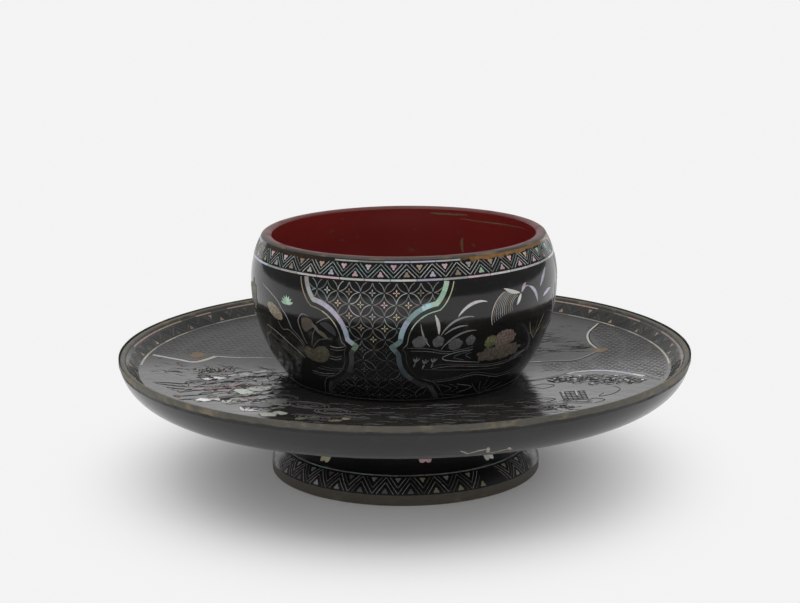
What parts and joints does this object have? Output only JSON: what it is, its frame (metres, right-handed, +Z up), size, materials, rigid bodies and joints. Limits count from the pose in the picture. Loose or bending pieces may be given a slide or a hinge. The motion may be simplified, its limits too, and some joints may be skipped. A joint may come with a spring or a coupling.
{
  "type": "tea-bowl stand",
  "caption": "Lacquered tea-bowl stand: a cup-shaped collar on a wide dish and a flared foot ring, inlaid with shell; the bowl rests in the collar's mouth.",
  "frame": {"origin": "centre of the foot's underside, on the table", "axes": "+Z up along the axis of turning; the pictured side faces -Y"},
  "size_m": [0.165, 0.165, 0.0703],
  "materials": {
    "turned_wood": "bare turned wood, hidden under the coats",
    "black_lacquer": "polished black lacquer",
    "red_lacquer": "polished dark red lacquer",
    "worn_edge": "brown lacquer ground where the black has worn off",
    "pearl_shell": "thin iridescent shell, polished"
  },
  "bodies": {
    "root": {"cup_core": "turned_wood", "dish_core": "turned_wood", "foot_core": "turned_wood", "cup_black_coat": "black_lacquer", "cup_red_lining": "red_lacquer", "dish_top_coat": "black_lacquer", "dish_under_coat": "black_lacquer", "foot_black_coat": "black_lacquer", "foot_inner_coat": "black_lacquer", "cup_lip_band": "worn_edge", "dish_lip_band": "worn_edge", "foot_edge_band": "worn_edge", "cup_upper_fillet": "pearl_shell", "cup_lower_fillet": "pearl_shell", "cup_base_fillet": "pearl_shell", "dish_outer_fillet": "pearl_shell", "dish_inner_fillet": "pearl_shell", "foot_fillet": "pearl_shell", "cup_fret": "pearl_shell", "dish_fret": "pearl_shell", "foot_fret": "pearl_shell", "cup_trefoils": "pearl_shell", "dish_scales": "pearl_shell", "foot_scales": "pearl_shell", "panel_frame_1": "pearl_shell", "panel_frame_2": "pearl_shell", "panel_frame_3": "pearl_shell", "panel_line_1": "pearl_shell", "panel_line_2": "pearl_shell", "panel_line_3": "pearl_shell", "diaper_rings_1": "pearl_shell", "diaper_rings_2": "pearl_shell", "diaper_rings_3": "pearl_shell", "diaper_florets_1": "pearl_shell", "diaper_florets_2": "pearl_shell", "diaper_florets_3": "pearl_shell", "pond_scene_1": "pearl_shell", "pond_scene_2": "pearl_shell", "pond_scene_3": "pearl_shell", "dish_clouds": "pearl_shell", "dish_rocks": "pearl_shell", "dish_trees": "pearl_shell", "foot_flowers": "pearl_shell"}
  },
  "joints": []
}
